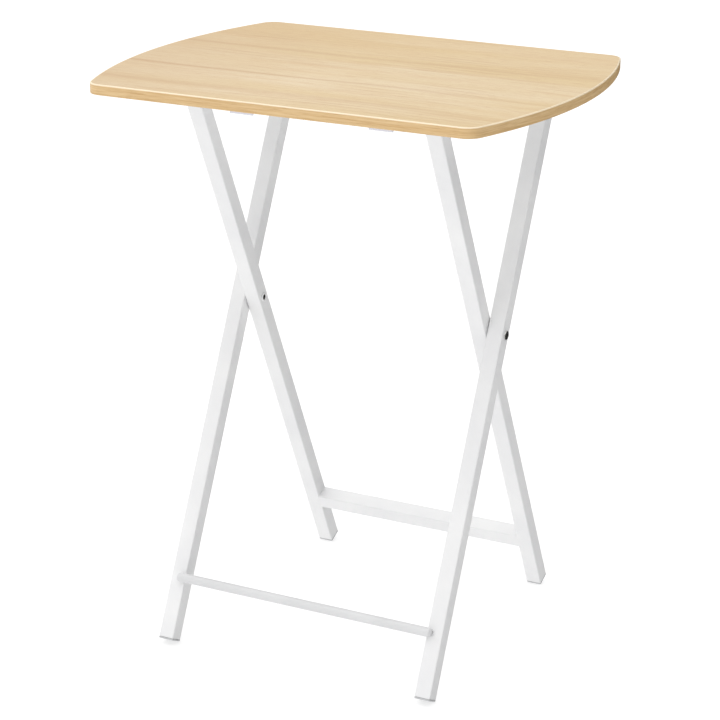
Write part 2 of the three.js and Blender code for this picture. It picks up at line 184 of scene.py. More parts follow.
class Mix:
    """A material in the making: its nodes, its shader and the object's own coordinates."""

    def __init__(self, name: str, ior: float) -> None:
        """Starts a material on a Principled shader.

        Args:
            name: The material's name.
            ior: The shader's index of refraction.
        """
        self.made = bpy.data.materials.new(name)
        self.made.use_nodes = True
        self.tree = self.made.node_tree
        self.tree.nodes.clear()
        self.shader = add_node(self.tree, "ShaderNodeBsdfPrincipled", {"IOR": ior})
        self.place = self.node("ShaderNodeTexCoord", output="Object")
        add_node(self.tree, "ShaderNodeOutputMaterial", links={"Surface": self.shader.outputs[0]})

    def node(
        self,
        kind: str,
        settings: dict[Any, Any] | None = None,
        links: dict[Any, Socket] | None = None,
        output: int | str = 0,
    ) -> Socket:
        """Adds any node to the material and gives one of its outputs."""
        return add_node(self.tree, kind, settings, links).outputs[output]

    def feed(self, socket: Socket, name: str) -> None:
        """Joins a socket to the shader's input of that name."""
        self.tree.links.new(socket, self.shader.inputs[name])

    def even(self, name: str, value: Any) -> None:
        """Sets one value all over on the shader's input of that name."""
        self.shader.inputs[name].default_value = value

    def noise(
        self,
        size: Sequence[float],
        detail: float = 2.0,
        distortion: float = 0.0,
        place: Socket | None = None,
    ) -> Socket:
        """Noise whose features have the given size along X, Y and Z.

        Args:
            size: Feature size along each axis, in millimetres.
            detail: Octaves of finer noise.
            distortion: How far the pattern is folded.
            place: The coordinates to stretch, if not the object's own.

        Returns:
            The noise as a number around 0.5.
        """
        scale = {"Scale": tuple(per_mm(s) for s in size)}
        vector = self.place if place is None else place
        stretched = self.node("ShaderNodeMapping", scale, {"Vector": vector})
        values = {"Scale": 1.0, "Detail": detail, "Distortion": distortion}
        return self.node("ShaderNodeTexNoise", values, {"Vector": stretched})

    def veil(
        self,
        below: Socket | str,
        above: str,
        pattern: Socket,
        source: Point,
        shares: Point = (0.0, 1.0),
        mask: Socket | None = None,
    ) -> Socket:
        """Lays a colour over another where a pattern is strong.

        Args:
            below: The ground, as a hex colour or a socket.
            above: The hex colour laid over it.
            pattern: A number that says where.
            source: The pattern's values at which the shares are reached.
            shares: How much of the upper colour shows at each of them.
            mask: A number that thins the upper colour further.

        Returns:
            The mixed colour.
        """
        share = self.node("ShaderNodeMapRange", spans(source, shares), {0: pattern})
        if mask is not None:
            product = {"operation": "MULTIPLY"}
            share = self.node("ShaderNodeMath", product, {0: share, 1: mask})
        settings: dict[Any, Any] = {"data_type": "RGBA", MIX_B: linear(above)}
        links: dict[Any, Socket] = {0: share}
        if isinstance(below, str):
            settings[MIX_A] = linear(below)
        else:
            links[MIX_A] = below
        return self.node("ShaderNodeMix", settings, links, MIX_RESULT)

    def polish(self, pattern: Socket, low: float, high: float) -> None:
        """Lets a pattern vary the roughness between two values."""
        rough = self.node("ShaderNodeMapRange", spans(MOST_NOISE, (low, high)), {0: pattern})
        self.feed(rough, "Roughness")

    def relief(self, pattern: Socket, depth: float) -> None:
        """Raises the surface with a pattern, by a real depth in millimetres."""
        bump = self.node("ShaderNodeBump", {"Distance": depth * MM}, {"Height": pattern})
        self.feed(bump, "Normal")


@dataclass(frozen=True)
class Finish:
    """What every finish has: a name, and typical values for its material."""

    name: str
    roughness: float
    ior: float = 1.5

    def material(self) -> bpy.types.Material:
        """Makes the finish as a node material."""
        mix = Mix(self.name, self.ior)
        self.dress(mix)
        return mix.made

    def dress(self, mix: Mix) -> None:
        """Adds the finish's own nodes to a material, given as `mix`."""
        raise NotImplementedError


@dataclass(frozen=True)
class PowderCoat(Finish):
    """Baked polyester powder on steel: satin, with a soft orange peel that breaks up highlights."""

    light: str = "#efefef"
    shade: str = "#e9e9ea"
    cloud: float = 70.0
    peel: float = 1.5
    peel_depth: float = 0.02

    def dress(self, mix: Mix) -> None:
        """Mottles the coat faintly and gives it orange peel.

        Args:
            mix: The material in the making.
        """
        cloud = mix.noise((self.cloud,) * 3)
        mix.feed(mix.veil(self.light, self.shade, cloud, (0.35, 0.65)), "Base Color")
        peel = mix.noise((self.peel,) * 3, detail=3)
        mix.polish(peel, self.roughness - 0.05, self.roughness + 0.05)
        mix.relief(peel, self.peel_depth)


@dataclass(frozen=True)
class MouldedPlastic(Finish):
    """Injection-moulded polypropylene or polyethylene: soft sheen over a fine spark-eroded grain."""

    colour: str = "#cccccc"
    worn: str = "#b9b9b9"
    cloud: float = 9.0
    grain: float = 0.5
    grain_depth: float = 0.02

    def dress(self, mix: Mix) -> None:
        """Clouds the colour a little and grains the surface.

        Args:
            mix: The material in the making.
        """
        cloud = mix.noise((self.cloud,) * 3, detail=4)
        mix.feed(mix.veil(self.colour, self.worn, cloud, (0.4, 0.75), (0, 0.8)), "Base Color")
        grain = mix.noise((self.grain,) * 3)
        mix.polish(grain, self.roughness - 0.06, self.roughness + 0.06)
        mix.relief(grain, self.grain_depth)


@dataclass(frozen=True)
class PlatedSteel(Finish):
    """Bright nickel plate on cold-headed parts: mirror-like with faint rubbed marks.

    The colour is lighter than real nickel or zinc.
    """

    colour: str = "#efeeec"
    dull: str = "#d2d1cf"
    patch: float = 2.2
    mark: float = 0.35
    mark_depth: float = 0.006

    def dress(self, mix: Mix) -> None:
        """Dulls the plate in patches and rubs it.

        Args:
            mix: The material in the making.
        """
        mix.even("Metallic", 1.0)
        patch = mix.noise((self.patch,) * 3, detail=3)
        mix.feed(mix.veil(self.colour, self.dull, patch, (0.4, 0.7)), "Base Color")
        mix.polish(patch, self.roughness, self.roughness + 0.12)
        mix.relief(mix.noise((self.mark, self.mark * 4, self.mark * 4)), self.mark_depth)


@dataclass(frozen=True)
class Fibreboard(Finish):
    """Pressed wood fibre: matt brown, with short fibres in every direction."""

    colour: str = "#b08d62"
    dark: str = "#8c6b45"
    fibre: float = 0.8
    fibre_depth: float = 0.1

    def dress(self, mix: Mix) -> None:
        """Covers the board with short fibres.

        Args:
            mix: The material in the making.
        """
        fibre = mix.noise((self.fibre * 3, self.fibre * 3, self.fibre), detail=5)
        mix.feed(mix.veil(self.colour, self.dark, fibre, (0.35, 0.65)), "Base Color")
        mix.even("Roughness", self.roughness)
        mix.relief(fibre, self.fibre_depth)


@dataclass(frozen=True)
class WoodLaminate(Finish):
    """Printed pale maple under melamine: a satin film over a shallow pressed grain, along X.

    Each pattern's size is its length along the grain and its width across it.
    """

    pale: str = "#efdcbb"
    honey: str = "#e7cfa4"
    rose: str = "#e2c59b"
    streak: str = "#c9a378"
    band: Point = (430.0, 58.0)
    figure: Point = (170.0, 17.0)
    line: Point = (110.0, 3.2)
    fibre: Point = (20.0, 0.9)
    pore: Point = (8.0, 0.5)
    sway: Point = (310.0, 120.0)
    wander: float = 11.0
    heart: Point = (-150.0, 22.0)
    heart_stretch: float = 22.0
    ring: float = 11.0
    patch: Point = (210.0, 48.0)
    late_wood: tuple[tuple[float, float, float], ...] = (
        (-66.0, 5.0, 0.8),
        (60.0, 9.0, 0.5),
        (28.0, 3.0, 0.35),
        (15.0, 2.5, 0.3),
        (-152.0, 13.0, 0.45),
    )  # Y, half width and strength of each line
    late_fade: Point = (-230.0, 240.0)
    grey: str = "#dcc29c"
    grey_fade: Point = (-270.0, -20.0)
    warm: str = "#e0c08c"
    warm_fade: Point = (55.0, 205.0)
    press_depth: float = 0.03

    def dress(self, mix: Mix) -> None:
        """Lays bands, drifts of colour, late wood, figure, rings, fibres and pores on the ground.

        Args:
            mix: The material in the making.
        """
        along = self.wandering(mix)
        band = self.grain(mix, along, self.band, 2)
        colour = mix.veil(self.pale, self.honey, band, (0.38, 0.62))
        axes = add_node(mix.tree, "ShaderNodeSeparateXYZ", links={0: along}).outputs
        colour = mix.veil(colour, self.grey, axes["X"], in_metres(self.grey_fade), (0.8, 0.0))
        colour = mix.veil(colour, self.warm, axes["Y"], in_metres(self.warm_fade), (0.0, 0.5))
        fade = spans(in_metres(self.late_fade), (1.0, 0.35))
        fading = mix.node("ShaderNodeMapRange", fade, {0: axes["X"]})
        for centre, half_width, strength in self.late_wood:
            less = {"operation": "SUBTRACT", 1: centre * MM}
            away = mix.node("ShaderNodeMath", less, {0: axes["Y"]})
            distance = mix.node("ShaderNodeMath", {"operation": "ABSOLUTE"}, {0: away})
            reach = in_metres((0.0, half_width))
            colour = mix.veil(colour, self.streak, distance, reach, (strength, 0.0), fading)
        figure = self.grain(mix, along, self.figure, 4, 0.6)
        colour = mix.veil(colour, self.rose, figure, (0.50, 0.72), (0, 0.6))
        thick = {0: self.grain(mix, along, self.patch, 1)}
        patch = mix.node("ShaderNodeMapRange", spans((0.46, 0.64), (0, 0.5)), thick)
        line = self.grain(mix, along, self.line, 2, 0.2)
        colour = mix.veil(colour, self.streak, line, (0.54, 0.72), mask=patch)
        rings = self.arches(mix, along)
        colour = mix.veil(colour, self.streak, rings, (0.6, 0.95), (0, 0.5), patch)
        fibre = self.grain(mix, along, self.fibre, 3)
        colour = mix.veil(colour, self.streak, fibre, (0.5, 0.68), (0, 0.4))
        pore = self.grain(mix, along, self.pore, 1)
        colour = mix.veil(colour, self.streak, pore, (0.6, 0.7), (0, 0.48))
        mix.feed(colour, "Base Color")
        mix.polish(fibre, self.roughness - 0.04, self.roughness + 0.06)
        mix.relief(fibre, self.press_depth)

    def grain(
        self, mix: Mix, along: Socket, size: Point, detail: float, distortion: float = 0.0
    ) -> Socket:
        """Noise drawn out along the grain."""
        return mix.noise((size[0], size[1], size[1]), detail, distortion, along)

    def wandering(self, mix: Mix) -> Socket:
        """Coordinates whose Y wanders slowly, so that the grain isn't ruler-straight.

        Args:
            mix: The material in the making.

        Returns:
            The coordinates, in metres.
        """
        wave = mix.noise((self.sway[0], self.sway[1], self.sway[1]), detail=1)
        swing = spans((0.2, 0.8), in_metres((-self.wander, self.wander)))
        offset = mix.node("ShaderNodeMapRange", swing, {0: wave})
        shift = mix.node("ShaderNodeCombineXYZ", links={"Y": offset})
        total = {"operation": "ADD"}
        return mix.node("ShaderNodeVectorMath", total, {0: mix.place, 1: shift})

    def arches(self, mix: Mix, along: Socket) -> Socket:
        """Growth rings cut nearly flat, which show as long nested arches.

        Args:
            mix: The material in the making.
            along: Coordinates that wander with the grain.

        Returns:
            The rings as a number from 0 to 1.
        """
        squeeze = 1 / self.heart_stretch
        location = (-self.heart[0] * squeeze * MM, -self.heart[1] * MM, 0.0)
        oval = {"Location": location, "Scale": (squeeze, 1.0, 1.0)}
        centred = mix.node("ShaderNodeMapping", oval, {"Vector": along})
        settings = {
            "wave_type": "RINGS",
            "rings_direction": "Z",
            "Scale": WAVE_PERIOD * per_mm(self.ring),
            "Distortion": 2.5,
            "Detail": 2.0,
            "Detail Scale": 0.6,
        }
        return mix.node("ShaderNodeTexWave", settings, {"Vector": centred}, 1)


@dataclass(frozen=True)
class EdgeBanding(Finish):
    """Plastic band printed as wood: streaks along its run, and a painted highlight along its top arris.
    """

    golden: str = "#e2c290"
    deep: str = "#d6b27c"
    streak: str = "#b2864f"
    # painted highlight: the pale colour laid along the top arris
    trimmed: str = "#fcebcd"
    band: Point = (90.0, 2.4)
    fibre: Point = (24.0, 0.7)
    fleck: Point = (8.0, 0.6)
    # heights over which the painted highlight fades in towards the top arris
    trim: Point = (668.4, 669.1)
    press_depth: float = 0.02

    def dress(self, mix: Mix) -> None:
        """Lays bands, fibres and flecks along the edge, and a painted highlight along the arris on top.

        Args:
            mix: The material in the making.
        """
        band = self.grain(mix, self.band, 3)
        colour = mix.veil(self.golden, self.deep, band, (0.36, 0.64))
        fibre = self.grain(mix, self.fibre, 3)
        colour = mix.veil(colour, self.streak, fibre, (0.48, 0.74), (0, 0.6))
        fleck = self.grain(mix, self.fleck, 2)
        colour = mix.veil(colour, self.streak, fleck, (0.66, 0.76), (0, 0.5))
        # painted highlight: the band turns pale towards its top arris
        height = mix.node("ShaderNodeSeparateXYZ", links={0: mix.place}, output="Z")
        colour = mix.veil(colour, self.trimmed, height, in_metres(self.trim), (0, 0.95))
        mix.feed(colour, "Base Color")
        mix.even("Roughness", self.roughness)
        mix.relief(fibre, self.press_depth)

    def grain(self, mix: Mix, size: Point, detail: float) -> Socket:
        """Noise drawn out along the band, whichever way its edge runs."""
        return mix.noise((size[0], size[0], size[1]), detail, 0.2)


@dataclass(frozen=True)
class LitSweep(Finish):
    """Matt white acrylic lit from below: an even pale ground on which shadows stay faint."""

    colour: str = "#bebebe"
    shade: str = "#bababa"
    cloud: float = 400.0
    glow: float = 0.58

    def dress(self, mix: Mix) -> None:
        """Clouds the acrylic faintly and lets it glow.

        Args:
            mix: The material in the making.
        """
        cloud = mix.noise((self.cloud,) * 3)
        mix.feed(mix.veil(self.colour, self.shade, cloud, (0.0, 1.0)), "Base Color")
        mix.even("Roughness", self.roughness)
        mix.even("Specular IOR Level", 0.1)
        mix.even("Emission Color", (1, 1, 1, 1))
        mix.even("Emission Strength", self.glow)


# ---- outlines, in millimetres ----
def rounded_square(half: float, radius: float, steps: int = 6) -> list[Point]:
    """The outline of a square section.

    Args:
        half: Half its width.
        radius: Its corner radius.
        steps: Segments in each corner.

    Returns:
        Points counterclockwise, the same number for any size.
    """
    points = []
    for quarter in range(4):
        centre = Matrix.Rotation(quarter * math.pi / 2, 2) @ Vector((half - radius, half - radius))
        for step in range(steps + 1):
            angle = (quarter + step / steps) * math.pi / 2
            points.append((centre.x + radius * math.cos(angle), centre.y + radius * math.sin(angle)))
    return points


def circle(radius: float, steps: int = 40) -> list[Point]:
    """Points of a circle, counterclockwise."""
    turns = [2 * math.pi * step / steps for step in range(steps)]
    return [(radius * math.cos(turn), radius * math.sin(turn)) for turn in turns]


def arc(centre: Point, radius: float, start: float, end: float, steps: int = 8) -> list[Point]:
    """Points of an arc."""
    angles = [math.radians(start + (end - start) * step / steps) for step in range(steps + 1)]
    return [(centre[0] + radius * math.cos(a), centre[1] + radius * math.sin(a)) for a in angles]


# ---- meshes ----
def mesh_object(
    name: str, vertices: Sequence[Vector], faces: Sequence[Sequence[int]]
) -> Piece:
    """Makes an object from points in millimetres, with its faces turned outwards.

    Args:
        name: The object's name.
        vertices: Its points.
        faces: Its faces, as point numbers.

    Returns:
        The object, linked to the scene, in metres.
    """
    mesh = bpy.data.meshes.new(name)
    mesh.from_pydata([v * MM for v in vertices], [], faces)
    work = bmesh.new()
    work.from_mesh(mesh)
    bmesh.ops.remove_doubles(work, verts=work.verts, dist=1e-7)
    bmesh.ops.recalc_face_normals(work, faces=work.faces)
    work.to_mesh(mesh)
    work.free()
    made = bpy.data.objects.new(name, mesh)
    bpy.context.scene.collection.objects.link(made)
    return made


def skin(name: str, loops: Sequence[Sequence[Vector]], ring: bool = False) -> Piece:
    """Skins a row of loops that have the same number of points.

    Args:
        name: The object's name.
        loops: The loops, in order.
        ring: Whether the last loop joins the first. If not, the end loops are capped.

    Returns:
        The object.
    """
    count = len(loops[0])
    faces = []
    spans = len(loops) if ring else len(loops) - 1
    for row in range(spans):
        here, there = row * count, ((row + 1) % len(loops)) * count
        for i in range(count):
            j = (i + 1) % count
            faces.append((here + i, here + j, there + j, there + i))
    if not ring:
        faces.append(tuple(range(count)))
        faces.append(tuple(range((len(loops) - 1) * count, len(loops) * count)))
    return mesh_object(name, [point for loop in loops for point in loop], faces)


def upright(name: str, sections: Sequence[Section], ring: bool = False) -> Piece:
    """Skins outlines that each lie at their own height along Z."""
    return skin(name, [[Vector((x, y, z)) for x, y in outline] for outline, z in sections], ring)


def turned(name: str, profile: Sequence[Point], ring: bool = False, steps: int = 40) -> Piece:
    """Turns a profile of radius and height pairs about Z."""
    return upright(name, [(circle(radius, steps), height) for radius, height in profile], ring)


def block_along_x(name: str, outline: Sequence[Point], start: float, end: float) -> Piece:
    """Extrudes a side view along X."""
    return skin(name, [[Vector((x, y, z)) for y, z in outline] for x in (start, end)])


def bead(path: Sequence[Vector], radius: float, pitch: float, ring: bool = False) -> Piece:
    """Sweeps a rippled weld bead along a path.

    Args:
        path: Points a fraction of the pitch apart.
        radius: The bead's radius.
        pitch: Length of one ripple along the path.
        ring: Whether the path is closed.

    Returns:
        The object.
    """
    loops = []
    run = 0.0
    for i, point in enumerate(path):
        before = path[i - 1] if i or ring else point
        after = path[(i + 1) % len(path)] if i + 1 < len(path) or ring else point
        ahead = (after - before).normalized()
        run += (point - before).length
        side = ahead.orthogonal().normalized()
        up = ahead.cross(side)
        swell = radius * (1 + 0.1 * math.cos(2 * math.pi * run / pitch))
        loops.append([point + side * a + up * b for a, b in circle(swell, 10)])
    aligned = [loops[0]]
    for loop in loops[1:]:
        start = min(range(len(loop)), key=lambda k: (loop[k] - aligned[-1][0]).length)
        aligned.append(loop[start:] + loop[:start])
    made = skin("seam", aligned, ring)
    smoothed(made, BEAD_CREASE)
    return made


def straight_runs(turns: Sequence[Vector], step: float) -> list[Vector]:
    """Points along straight runs between corners.

    Args:
        turns: The corners in order.
        step: The distance between points.

    Returns:
        The points, with both ends.
    """
    points = []
    for start, end in zip(turns, turns[1:]):
        count = max(1, round((end - start).length / step))
        points.extend(start.lerp(end, i / count) for i in range(count))
    return [*points, turns[-1]]


def applied(piece: Piece) -> None:
    """Applies a piece's modifiers to its mesh.

    Args:
        piece: The object, whose modifiers are removed.
    """
    graph = bpy.context.evaluated_depsgraph_get()
    mesh = bpy.data.meshes.new_from_object(piece.evaluated_get(graph))
    piece.modifiers.clear()
    piece.data = mesh
    mesh.name = piece.name


def combined(piece: Piece, tools: Sequence[Piece], operation: str) -> None:
    """Cuts or joins a piece with tools, which are then removed.

    Args:
        piece: The object to change.
        tools: Closed objects.
        operation: The Boolean modifier's operation.
    """
    for tool in tools:
        change = piece.modifiers.new("shape", "BOOLEAN")
        change.operation = operation
        change.solver = "EXACT"
        change.object = tool
    applied(piece)
    for tool in tools:
        bpy.data.objects.remove(tool)


def eased(piece: Piece, width: float, steps: int = 2, angle: float = 40.0) -> None:
    """Rounds a piece's sharp edges.

    Args:
        piece: The object.
        width: The rounding in millimetres.
        steps: Segments of the rounding.
        angle: The least turn of an edge that is rounded, in degrees.
    """
    change = piece.modifiers.new("ease", "BEVEL")
    change.width = width * MM
    change.segments = steps
    change.limit_method = "ANGLE"
    change.angle_limit = math.radians(angle)
    change.use_clamp_overlap = True
    applied(piece)


def smoothed(piece: Piece, angle: float = 32.0) -> None:
    """Shades a piece smooth up to a crease, with the flat faces kept flat.

    Args:
        piece: The object.
        angle: The least turn of an edge that stays sharp, in degrees.
    """
    piece.data.polygons.foreach_set("use_smooth", [True] * len(piece.data.polygons))
    piece.data.set_sharp_from_angle(angle=math.radians(angle))
    change = piece.modifiers.new("flats", "WEIGHTED_NORMAL")
    change.keep_sharp = True
    change.weight = 100
    applied(piece)


def moved(piece: Piece, matrix: Matrix) -> Piece:
    """Moves a piece's mesh.

    Args:
        piece: The object, which stays at the origin.
        matrix: The move, in millimetres.

    Returns:
        The object.
    """
    in_metres = matrix.copy()
    in_metres.translation = matrix.translation * MM
    piece.data.transform(in_metres)
    return piece


def joined(piece: Piece, others: Sequence[Piece]) -> Piece:
    """Adds other objects' meshes to a piece as they are.

    Args:
        piece: The object that grows.
        others: The objects, which are removed.

    Returns:
        The object.
    """
    work = bmesh.new()
    for source in (piece, *others):
        work.from_mesh(source.data)
    work.to_mesh(piece.data)
    work.free()
    for other in others:
        bpy.data.objects.remove(other)
    return piece


def drill_x(radius: float, centre: Vector, length: float) -> Piece:
    """A cutter along X."""
    cutter = turned("drill", [(radius, -length / 2), (radius, length / 2)])
    return moved(cutter, Matrix.Translation(centre) @ Matrix.Rotation(math.pi / 2, 4, "Y"))


def drill_z(radius: float, centre: Vector, length: float) -> Piece:
    """A cutter along Z."""
    cutter = turned("drill", [(radius, -length / 2), (radius, length / 2)])
    return moved(cutter, Matrix.Translation(centre))


@dataclass
class Shop:
    """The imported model's facts, and the finishes, that every sub-assembly shares."""

    frame: dict[str, Any]
    finishes: dict[Slot, bpy.types.Material] = field(default_factory=dict)
    thin_coat: bpy.types.Material | None = None  # the lower bar's coat: a greyer copy of the white coat, as painted shade

    def mix_finishes(self) -> None:
        """Makes the materials of all slots."""
        recipes = {
            Slot.POWDER_COAT: PowderCoat("white powder-coated steel", roughness=0.42, ior=1.5),
            Slot.GREY_PLASTIC: MouldedPlastic(
                "grey moulded polyethylene", roughness=0.5, ior=1.51, colour="#c6c7c8", worn="#b4b5b7"
            ),
            Slot.WHITE_PLASTIC: MouldedPlastic(
                "white moulded polypropylene", roughness=0.4, ior=1.49, colour="#e6e4ec", worn="#dcdae3"
            ),
            Slot.PLATED_STEEL: PlatedSteel("nickel-plated steel", roughness=0.16),
            Slot.FIBREBOARD: Fibreboard("raw fibreboard", roughness=0.9),
            Slot.LAMINATE: WoodLaminate("maple-print melamine laminate", roughness=0.4, ior=1.52),
            Slot.BACKING: MouldedPlastic(
                "white melamine backing", roughness=0.55, ior=1.52, colour="#d6d6d4", worn="#cfcfcc"
            ),
            Slot.EDGE_BAND: EdgeBanding("wood-print edge banding", roughness=0.38, ior=1.53),
        }
        for slot, finish in recipes.items():
            self.finishes[slot] = finish.material()
            LOG.info("mixed %s", finish.name)
        # painted shade: a greyer copy of the white powder coat, for the lower bar
        shaded_coat = PowderCoat(
            "thin powder coat on drawn bar", roughness=0.42, light="#dededf", shade="#d8d8d9"
        )
        self.thin_coat = shaded_coat.material()

    def joint(self, name: str) -> dict[str, Any]:
        """The record's joint of that name."""
        return next(joint for joint in self.frame["joints"] if joint["name"] == name)

    def middle(self, node: str) -> Vector:
        """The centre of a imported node's box, in millimetres."""
        low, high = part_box(node)
        return (low + high) / 2 / MM

    def extent(self, node: str) -> Vector:
        """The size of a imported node's box, in millimetres."""
        low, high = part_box(node)
        return (high - low) / MM

    def fit(self, piece: Piece, body: Body, slot: Slot, *nodes: str) -> Piece:
        """Gives a finished piece its material and its place in the model.

        Args:
            piece: The object.
            body: The body that it moves with.
            slot: Its material slot.
            *nodes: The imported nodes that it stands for.

        Returns:
            The object.
        """
        piece.data.materials.clear()
        piece.data.materials.append(self.finishes[slot])
        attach(piece, body.value)
        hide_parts(*nodes)
        LOG.info("%s: %d faces on %s", piece.name, len(piece.data.polygons), body.value)
        return piece


# ---- frames ----
@dataclass
class LeaningFrame:
    """What both leg frames have: two square-tube legs with plastic ends, and their lean."""

    shop: Shop
    body: Body
    prefix: str
    leg_x: float
    lean_sign: int
    tube: float = 19.0
    wall: float = 1.2
    corner: float = 1.5
    end_chamfer: float = 0.3
    gap: float = 0.3
    flange: float = 2.0
    cap_length: float = 14.0
    plug_flange: float = 1.5
    plug_length: float = 5.0
    above_rail: float = 9.0
    bar_radius: float = 5.35
    weld_radius: float = 1.1
    weld_pitch: float = 2.4

    def __post_init__(self) -> None:
        """Works out the frame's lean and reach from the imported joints."""
        fold = self.shop.joint("leg_fold")
        tilt = self.shop.joint("top_tilt")
        self.pivot = Vector(fold["pos_m"]) / MM
        self.half = self.tube / 2
        lean = math.radians(fold["range_deg"][1] / 2)
        rise = tilt["pos_m"][2] / MM - self.pivot.z
        self.rail_reach = rise / math.cos(lean)
        self.top_reach = self.rail_reach + self.above_rail
        self.foot_reach = (self.pivot.z - self.half * math.sin(lean)) / math.cos(lean)
        turn = Matrix.Rotation(-self.lean_sign * lean, 4, "X")
        self.matrix = Matrix.Translation(self.pivot) @ turn

    def place(
        self, piece: Piece, move: Matrix, slot: Slot, node: str, crease: float = 32.0
    ) -> None:
        """Smooths a piece, moves it to its place on the upright frame, and stands it.

        Args:
            piece: The object.
            move: Its move, in the frame's own axes.
            slot: Its material slot.
            node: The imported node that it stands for.
            crease: The least turn of an edge that stays sharp, in degrees.
        """
        smoothed(piece, crease)
        moved(piece, move)
        self.stand(piece, slot, node)

    def stand(self, piece: Piece, slot: Slot, *nodes: str) -> None:
        """Leans a finished piece with the frame and fits it."""
        self.shop.fit(moved(piece, self.matrix), self.body, slot, *nodes)

    def square(self, inset: float, height: float, radius: float | None = None) -> Section:
        """A section of the tube."""
        rounding = max(self.corner - inset, 0.2) if radius is None else radius
        return rounded_square(self.half - inset, rounding), height

    def across(self, side: Side, height: float) -> Matrix:
        """The move from the frame's mid-line to a height on one leg's own line."""
        return Matrix.Translation((side.value * self.leg_x, 0, height))

    def leg(self, side: Side, holes: Sequence[Point]) -> None:
        """Builds a leg tube.

        Args:
            side: Its side.
            holes: Pairs of a radius and a place along the leg.
        """
        name = f"{self.prefix}_leg_{side.word}"
        bottom = -self.foot_reach + self.flange + self.gap
        top = self.top_reach - self.plug_flange - self.gap
        chamfer, wall = self.end_chamfer, self.wall
        rows = [
            self.square(0, bottom + chamfer),
            self.square(0, top - chamfer),
            self.square(chamfer, top),
            self.square(wall, top),
            self.square(wall, bottom),
            self.square(chamfer, bottom),
        ]
        tube = upright(f"{name}_tube", rows, ring=True)
        drills = [drill_x(r, Vector((0, 0, z)), 2 * self.tube) for r, z in holes]
        combined(tube, drills, "DIFFERENCE")
        self.place(tube, self.across(side, 0), Slot.POWDER_COAT, name)

    def foot_cap(self, side: Side) -> None:
        """Builds the push-in cap under a leg, with a shallow recess in its sole.

        Args:
            side: Its side.
        """
        rows = [
            self.square(4.6, 0.7, 0.6),
            self.square(4.0, 0.0, 1.0),
            self.square(0.8, 0.0, 1.2),
            self.square(0.25, 0.2, 1.6),
            self.square(0.0, 0.8),
            self.square(0.0, self.flange - 0.25),
            self.square(0.25, self.flange),
            self.square(self.wall + self.gap, self.flange, 0.6),
            self.square(self.wall + self.gap, self.cap_length - 1, 0.6),
            self.square(self.wall + self.gap + 1, self.cap_length, 0.6),
        ]
        name = f"{self.prefix}_foot_cap_{side.word}"
        cap = upright(f"{name}_moulding", rows)
        self.place(cap, self.across(side, -self.foot_reach), Slot.GREY_PLASTIC, name)

    def top_plug(self, side: Side) -> None:
        """Builds the plug in a leg's upper end, with a slightly crowned face.

        Args:
            side: Its side.
        """
        rows = [
            self.square(self.wall + self.gap + 0.5, -self.plug_length, 0.6),
            self.square(self.wall + self.gap, 0.5 - self.plug_length, 0.6),
            self.square(self.wall + self.gap, -self.plug_flange, 0.6),
            self.square(0.1, -self.plug_flange),
            self.square(0.0, -0.7),
            self.square(0.25, -0.3),
            self.square(0.9, -0.08),
            self.square(2.5, 0.0, 0.8),
        ]
        name = f"{self.prefix}_top_plug_{side.word}"
        plug = upright(f"{name}_moulding", rows)
        self.place(plug, self.across(side, self.top_reach), Slot.WHITE_PLASTIC, name)

    def round_bar(self, name: str, half_length: float, rounding: float) -> Piece:
        """A round bar along X with rounded ends.

        Args:
            name: The object's name.
            half_length: Half its length.
            rounding: The radius of its end edges.

        Returns:
            The object, about the origin.
        """
        inside = self.bar_radius - rounding
        far = arc((inside, half_length - rounding), rounding, 0, 90, 5)
        near = [(radius, -height) for radius, height in reversed(far)]
        bar = turned(name, [*near, *far], steps=48)
        return moved(bar, Matrix.Rotation(math.pi / 2, 4, "Y"))


